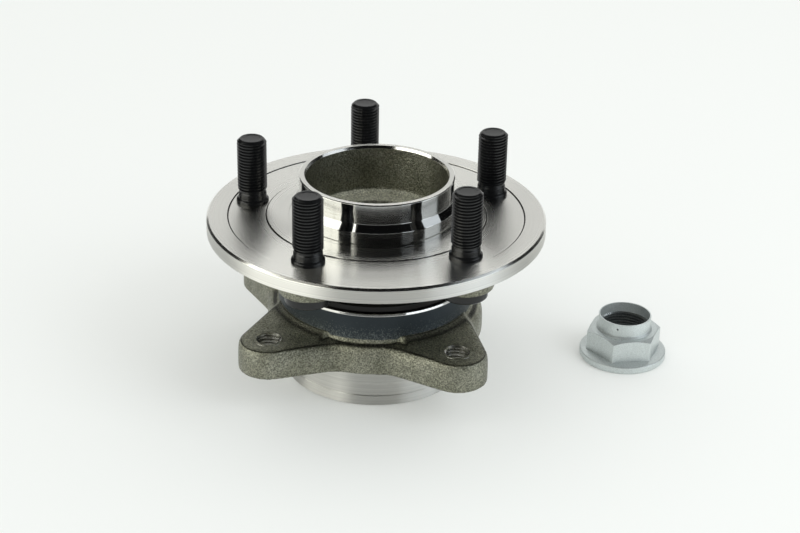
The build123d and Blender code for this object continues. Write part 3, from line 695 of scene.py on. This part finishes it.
class HUBBEARING_OT_housing(bpy.types.Operator):
    """Forge the eared housing, turn its barrel and spigot and tap its ears"""
    bl_idname = "hub_bearing.housing"
    bl_label = "Bearing Housing"

    def execute(self, context):
        sizes = settings().housing
        finishes = settings().finishes
        forged = blasted_forging("blasted_forging_housing", finishes.forged)
        # Painted shade: a darker copy of turned steel, 0.8 of its tone, for the spigot and the
        # mounting face.
        machined = turned_side("turned_steel_spigot_shaded", shade(finishes.turned, 0.8), 0.42, 0.8)
        barrel, spigot = sizes.barrel_radius / MM, sizes.spigot_radius / MM
        root, bore, end = sizes.spigot_root / MM, sizes.seal_bore / MM, sizes.end_bore / MM
        mouth, foot = -30.0, -43.6
        ring = turned("housing_turned", [
            (38.4, -43.0), (38.4, -35.6), (bore, -35.6), (bore, mouth), (barrel - 0.3, mouth),
            (barrel, mouth - 1.05), (barrel, foot), (barrel - 1.5, foot), (barrel - 1.5, -57.0),
            (root, -57.5), (root, -66.6), (spigot + 0.15, -68.2), (spigot + 0.15, -70.2),
            (spigot - 0.35, -74.2), (spigot, -74.45), (spigot, -79.1),
            (spigot - 1.5, FLOOR_LEVEL), (end, FLOOR_LEVEL), (end, -74.4), (38.4, -74.4),
            (38.4, -67.0), (34.5, -61.1), (34.5, -48.9)])
        smooth(ring)
        chamfer = turned_side("turned_steel_chamfer", finishes.ground, 0.16, 0.5, 0.04)
        assign(ring, [
            (chamfer, lambda r, z, n: z > mouth - 1.1 and r > bore + 0.1),
            (heat_tinted_barrel(), lambda r, z, n: z > foot - 0.4 and r > bore + 0.1),
            (machined, lambda r, z, n: True)])
        seat(ring, "housing", "turned_steel")
        plate = forging_from("bearing_housing", "housing_forging", -58.49, -41.45, 0.65, 5)
        self.wear_edges(plate, sizes)
        assign(plate, [
            (machined, lambda r, z, n: n.z < -0.9 and z < -58.0),
            (forged, lambda r, z, n: True)])
        seat(plate, "housing", "forged_steel", "bearing_housing")
        self.tap_ears(sizes, forged)
        return {"FINISHED"}

    def wear_edges(self, plate, sizes):
        """Rounds the upper edges of the ears and their run-out into the barrel's foot."""
        holes = [Vector((sizes.ear_circle * cos(angle), sizes.ear_circle * sin(angle)))
                 for angle in EAR_ANGLES]
        worn = plate.vertex_groups.new(name="worn_edges")
        worn.add([vertex.index for vertex in plate.data.vertices
                  if vertex.co.z > -53 * MM
                  and vertex.co.xy.length > sizes.barrel_radius + 0.9 * MM
                  and min((vertex.co.xy - hole).length for hole in holes) > 8.7 * MM],
                 1.0, "REPLACE")
        apply_modifier(plate, "SMOOTH", factor=0.5, iterations=12, vertex_group="worn_edges")

    def tap_ears(self, sizes, forged):
        """Lines each ear's hole with a threaded sleeve."""
        low, high = -58.3, -44.5
        root, crest, pitch = (sizes.thread_root / MM, sizes.thread_crest / MM,
                              sizes.thread_pitch / MM)
        sleeve = turned("ear_thread", [
            (crest - 1.0, low), (root + 0.7, low), (root + 0.7, high), (crest + 0.35, high),
            (crest - 1.0, high - 1.35)], SMALL_STEPS, 0.1)
        boolean(sleeve, threaded_rod("tap", root, crest, pitch, low - 2, high + 2), "DIFFERENCE")
        # Painted shade inside the ears' holes: the threads are turned steel at 0.8 of its tone.
        shaded_tap = turned_side("tapped_steel_thread_shaded", shade(settings().finishes.turned, 0.8),
                             0.26, 0.9)
        smooth_by_angle(sleeve, 35)
        sleeve.data.materials.clear()
        assign(sleeve, [(forged, lambda r, z, n: n.z > 0.95 and z > high - 0.1),
                        (shaded_tap, lambda r, z, n: True)])
        for number, angle in enumerate(EAR_ANGLES):
            copy = moved_copy(sleeve, f"ear_thread_{number + 1}", angle,
                              (sizes.ear_circle, 0, 0))
            seat(copy, "housing", "turned_steel")
        bpy.data.objects.remove(sleeve)


class HUBBEARING_OT_bearing(bpy.types.Operator):
    """Finish the rolling parts and build the rings and seals that show at the ends"""
    bl_idname = "hub_bearing.bearing"
    bl_label = "Bearing and Seals"

    def ring(self, name, outline, material, slot, node):
        """Turns a ring that rides on the hub and stands for a CAD node."""
        piece = smooth(turned(name, outline))
        piece.data.materials.append(material)
        seat(piece, "hub", slot, node)

    def execute(self, context):
        finishes = settings().finishes
        land = settings().hub.land_radius / MM + 0.02
        polished = turned_side("ground_bearing_steel", finishes.ground, 0.1, 0.7, 0.05)
        cage = coated("glass_filled_polyamide", colour("#2A2621"), 0.5, 0.8)
        rubber = coated("moulded_seal_rubber", finishes.rubber, 0.55, 1.2)
        sheet = coated("coated_sheet_steel", colour("#0A0908"), 0.36, 0.9, metallic=0.5)
        plain_sheet = turned_side("pressed_sheet_steel", colour("#A9A8A2"), 0.3, 1.5)
        magnet = coated("magnetised_rubber", colour("#25211D"), 0.6, 0.7)
        for node in ("outboard_balls", "inboard_balls"):
            dress(node, polished)
        for node in ("outboard_cage", "inboard_cage"):
            dress(node, cage)
        for node in ("outboard_seal_lip", "inboard_seal_lip"):
            dress(node, rubber)
        for node in ("outboard_seal_case", "inboard_seal_case"):
            dress(node, plain_sheet)
        self.ring("outboard_slinger_ring", [
            (land, -32.2), (land, -26.2), (35.3, -26.2), (36.0, -26.9), (39.0, -26.9),
            (39.7, -26.2), (41.2, -26.2), (41.6, -26.6), (42.2, -26.6), (42.6, -26.2),
            (43.5, -26.2), (44.28, -27.0), (44.28, -29.6), (43.5, -29.6), (43.5, -27.0),
            (39.7, -27.0), (39.0, -27.7), (36.0, -27.7), (35.3, -27.0), (land + 0.8, -27.0),
            (land + 0.8, -32.2)], sheet, "coated_sheet_steel", "outboard_slinger")
        self.ring("inner_ring_ground", [
            (21.02, -54.5), (25.6, -54.5), (25.6, -67.0), (26.3, -70.0), (29.5, -72.7),
            (29.5, -78.4), (28.7, -79.2), (21.8, -79.2), (21.02, -78.4)],
            polished, "bearing_steel", "inner_ring")
        self.ring("inboard_slinger_ring", [
            (land, -78.8), (37.8, -78.8), (37.8, -78.0), (land + 0.8, -78.0), (land + 0.8, -74.4),
            (land, -74.4)], plain_sheet, "seal_sheet_steel", "inboard_slinger")
        self.ring("encoder_ring_moulded", [
            (31.6, -79.7), (37.8, -79.7), (37.8, -78.82), (31.6, -78.82)],
            magnet, "encoder_rubber", "encoder_ring")
        return {"FINISHED"}


class HUBBEARING_OT_axle_nut(bpy.types.Operator):
    """Forge the flanged axle nut, thread it and form its staking collar"""
    bl_idname = "hub_bearing.axle_nut"
    bl_label = "Axle Nut"

    def punch(self, nut, collar):
        """Inspector's centre-punch mark on the collar."""
        angle, level = radians(245.5), 19.75
        bpy.ops.object.select_all(action="DESELECT")
        bpy.ops.mesh.primitive_uv_sphere_add(segments=24, ring_count=12, radius=0.5 * MM)
        mark = bpy.context.object
        reach = collar - 0.05
        mark.data.transform(Matrix.Translation((reach * cos(angle) * MM,
                                                reach * sin(angle) * MM, level * MM)))
        boolean(nut, mark, "DIFFERENCE")

    def execute(self, context):
        sizes = settings().nut
        flange, thick = sizes.flange_radius / MM, sizes.flange_thickness / MM
        corner = sizes.across_flats / MM / 2 / cos(radians(30))
        hex_top, height, collar = sizes.hex_top / MM, sizes.height / MM, sizes.collar_radius / MM
        root, chamfer, turn = sizes.thread_root / MM, 15.8, radians(5.5 - 30)
        bpy.ops.object.select_all(action="DESELECT")
        bpy.ops.mesh.primitive_cylinder_add(vertices=6, radius=corner * MM, depth=hex_top * MM)
        nut = bpy.context.object
        nut.name = nut.data.name = "axle_nut_forged"
        apply_modifier(nut, "BEVEL", width=0.35 * MM, segments=3, limit_method="ANGLE",
                       angle_limit=radians(40))
        nut.data.transform(Matrix.Translation((0, 0, hex_top / 2 * MM))
                           @ Matrix.Rotation(turn, 4, "Z"))
        drop = (corner + 1 - chamfer) * tan(radians(30))
        envelope = turned("envelope", [
            (0, -1), (corner + 1, -1), (corner + 1, hex_top - drop), (chamfer, hex_top),
            (0, hex_top)], NUT_STEPS, 0.1)
        boolean(nut, envelope, "INTERSECT")
        skirt = turned("skirt", [
            (0, 0), (flange - 0.6, 0), (flange, 0.7), (flange, thick - 0.3),
            (flange - 0.3, thick), (corner + 0.2, thick + 0.4), (corner - 1.5, thick + 0.8),
            (0, thick + 0.8)], NUT_STEPS, 0.15)
        boolean(nut, skirt, "UNION")
        collar_body = turned("collar", [
            (0, hex_top - 1), (collar + 0.9, hex_top - 1), (collar + 0.9, hex_top + 0.1),
            (collar, hex_top + 0.9), (collar, height), (0, height)], NUT_STEPS, 0.25)
        boolean(nut, collar_body, "UNION")
        boolean(nut, threaded_rod("tap", root, sizes.thread_crest / MM, sizes.pitch / MM,
                                  -1.5, 17.0), "DIFFERENCE")
        bore = turned("bore", [(0, -1), (root + 1.5, -1), (root + 1.5, -0.2), (root - 0.5, 1.4),
                               (root - 0.9, 1.4), (root - 0.9, 16.4), (root + 0.1, 17.4),
                               (root + 0.1, height + 1), (0, height + 1)], NUT_STEPS, 0.1)
        boolean(nut, bore, "DIFFERENCE")
        self.punch(nut, collar)
        smooth_by_angle(nut, 28)
        nut.data.materials.clear()
        zinc = coated("zinc_flake_steel", settings().finishes.zinc, 0.42, 0.6, metallic=0.65,
                      contrast=0.15, depth_mm=0.04)
        # Painted shade: zinc at 0.3 of its tone for the thread inside the bore and for the
        # centre-punch dent.
        thread = coated("zinc_flake_painted_shade", shade(settings().finishes.zinc, 0.3), 0.4, 0.6,
                        metallic=0.8)
        assign(nut, [(thread, lambda r, z, n: r < root + 0.05 and 0.5 < z < 17.0),
                     (thread, lambda r, z, n: root + 0.2 < r < collar - 0.04 and 19 < z < 20.5),
                     (zinc, lambda r, z, n: True)])
        low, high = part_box("axle_nut")
        middle = (low + high) / 2
        nut.data.transform(Matrix.Translation((middle.x, middle.y, low.z)))
        seat(nut, "nut", "zinc_flake_steel", "axle_nut")
        return {"FINISHED"}


class HUBBEARING_OT_stage(bpy.types.Operator):
    """Set the pale floor, the light tent, the cards that metal reflects and the camera"""
    bl_idname = "hub_bearing.stage"
    bl_label = "Stage"

    # Name, place and size in metres, tone and strength of each card.
    cards = (
        ("back_sweep", (0.14, 1.34, 0.409), (2.1, 0.95), "#FBFCFA", 0.70),
        ("back_high", (0.0, 0.9, 1.07), (1.6, 0.6), "#FBFCFA", 1.70),
        ("left_box", (-1.26, -0.177, 0.592), (0.8, 0.9), "#FDFDF4", 2.60),
        ("left_front", (-0.972, -0.816, 0.592), (0.7, 0.9), "#FDFDF4", 2.70),
        ("left_low", (-1.27, -0.591, 0.0733), (1.2, 0.3), "#FDFDF4", 1.70),
        ("right_low", (1.15, -0.802, 0.0733), (1.2, 0.3), "#EDF5FC", 3.15),
        ("right_box", (1.23, -0.328, 0.592), (1, 0.9), "#EDF5FC", 1.05),
    )

    def area_light(self, name, place, aim, size, power, tone):
        """A soft lamp that shows in no reflection."""
        light = bpy.data.lights.new(name, "AREA")
        light.shape = "RECTANGLE"
        light.size, light.size_y = size
        light.energy = power
        light.color = colour(tone)[:3]
        lamp = bpy.data.objects.new(name, light)
        bpy.context.collection.objects.link(lamp)
        lamp.location = place
        lamp.rotation_euler = (Vector(aim) - Vector(place)).to_track_quat("-Z", "Y").to_euler()
        lamp.visible_glossy = False

    def card(self, name, place, size, tone, strength):
        """A light card that shows only in reflections, turned towards the middle."""
        bpy.ops.object.select_all(action="DESELECT")
        bpy.ops.mesh.primitive_plane_add(size=1)
        card = bpy.context.object
        card.name = name
        turn = (-Vector(place)).to_track_quat("Z", "Y").to_matrix().to_4x4()
        card.data.transform(Matrix.Translation(place) @ turn @ Matrix.Diagonal((*size, 1, 1)))
        material, _, shader = new_material(name)
        shader.inputs["Base Color"].default_value = colour("#000000")
        shader.inputs["Emission Color"].default_value = colour(tone)
        shader.inputs["Emission Strength"].default_value = strength
        card.data.materials.append(material)
        card.visible_camera = False
        card.visible_shadow = False
        card.visible_diffuse = False

    def floor(self):
        bpy.ops.object.select_all(action="DESELECT")
        bpy.ops.mesh.primitive_plane_add(size=8)
        floor = bpy.context.object
        floor.name = "stage_floor"
        floor.data.transform(Matrix.Translation((0, 0, FLOOR_LEVEL * MM)))
        material, _, shader = new_material("pale_paper_floor", roughness=0.9)
        pale = settings().finishes.floor
        shader.inputs["Base Color"].default_value = shade(pale, 0.82)
        shader.inputs["Emission Color"].default_value = pale
        shader.inputs["Emission Strength"].default_value = 0.2
        shader.inputs["Specular IOR Level"].default_value = 0.1
        floor.data.materials.append(material)

    def world(self):
        world = bpy.data.worlds.new("studio_surround")
        bpy.context.scene.world = world
        # Sampled, the tent would light rough metal as well.
        world.cycles.sampling_method = "NONE"
        world.use_nodes = True
        tree = world.node_tree
        tree.nodes.clear()
        # A bright tent all round; polished metal reflects a dim room and the cards in it.
        ray = add_node(tree, "ShaderNodeLightPath")
        tent = add_node(tree, "ShaderNodeBackground", {"Color": colour("#FBFCFB"),
                                                       "Strength": 1.0})
        room = add_node(tree, "ShaderNodeBackground", {"Color": colour("#8A8C8E"),
                                                       "Strength": 0.02})
        mix = add_node(tree, "ShaderNodeMixShader", links={0: ray.outputs["Is Glossy Ray"],
                                                           1: tent.outputs["Background"],
                                                           2: room.outputs["Background"]})
        add_node(tree, "ShaderNodeOutputWorld", links={"Surface": mix.outputs["Shader"]})

    def camera(self):
        """The camera's place and turn, solved from the circles of the flange and pilot."""
        swing, yaw, pitch, roll = radians(-2.3), 0.0146946, 0.461460, 0.0203751
        distance_y, height = -782.85 * MM, 361.15 * MM
        focal_pixels, picture_width, sensor = 1841.32, 800, 36.0
        forward = Vector((sin(yaw) * cos(pitch), cos(yaw) * cos(pitch), -sin(pitch)))
        right = Vector((cos(yaw), -sin(yaw), 0))
        up = right.cross(forward)
        level, rise = (right * cos(roll) + up * sin(roll)), (up * cos(roll) - right * sin(roll))
        data = bpy.data.cameras.new("camera")
        data.sensor_width = sensor
        data.lens = focal_pixels / picture_width * sensor
        camera = bpy.data.objects.new("camera", data)
        bpy.context.collection.objects.link(camera)
        turn = Matrix((level, rise, -forward)).transposed().to_4x4()
        camera.matrix_world = (Matrix.Rotation(swing, 4, "Z")
                               @ Matrix.Translation((0, distance_y, height)) @ turn)
        bpy.context.scene.camera = camera

    def execute(self, context):
        scene = bpy.context.scene
        scene.view_settings.view_transform = "Standard"
        self.floor()
        self.world()
        self.camera()
        self.area_light("key_softbox", (1.1, -0.7, 1.0), (0, 0, 0), (0.9, 0.9), 6.5, "#F3F8FF")
        for values in self.cards:
            self.card(*values)
        return {"FINISHED"}


class HUBBEARING_PT_panel(bpy.types.Panel):
    """Sizes, finishes and build steps of the hub bearing"""
    bl_idname = "HUBBEARING_PT_panel"
    bl_label = "Hub Bearing"
    bl_space_type = "VIEW_3D"
    bl_region_type = "UI"
    bl_category = "Hub Bearing"

    def draw(self, context):
        layout = self.layout
        for operator in OPERATORS:
            layout.operator(operator.bl_idname)
        for group in ("hub", "studs", "housing", "nut", "finishes"):
            box = layout.box()
            box.label(text=group.title())
            values = getattr(context.scene.hub_bearing, group)
            for name in values.bl_rna.properties.keys():
                if name not in ("rna_type", "name"):
                    box.prop(values, name)


OPERATORS = (HUBBEARING_OT_stage, HUBBEARING_OT_wheel_hub, HUBBEARING_OT_wheel_studs,
             HUBBEARING_OT_housing, HUBBEARING_OT_bearing, HUBBEARING_OT_axle_nut)
GROUPS = (HubSizes, StudSizes, HousingSizes, NutSizes, Finishes, HubBearingSettings)


def register():
    for cls in GROUPS + OPERATORS + (HUBBEARING_PT_panel,):
        bpy.utils.register_class(cls)
    bpy.types.Scene.hub_bearing = PointerProperty(type=HubBearingSettings)


def unregister():
    del bpy.types.Scene.hub_bearing
    for cls in reversed(GROUPS + OPERATORS + (HUBBEARING_PT_panel,)):
        bpy.utils.unregister_class(cls)


def main():
    register()
    bpy.ops.hub_bearing.stage()
    bpy.ops.hub_bearing.wheel_hub()
    bpy.ops.hub_bearing.wheel_studs()
    bpy.ops.hub_bearing.housing()
    bpy.ops.hub_bearing.bearing()
    bpy.ops.hub_bearing.axle_nut()


if __name__ == "__main__":
    main()
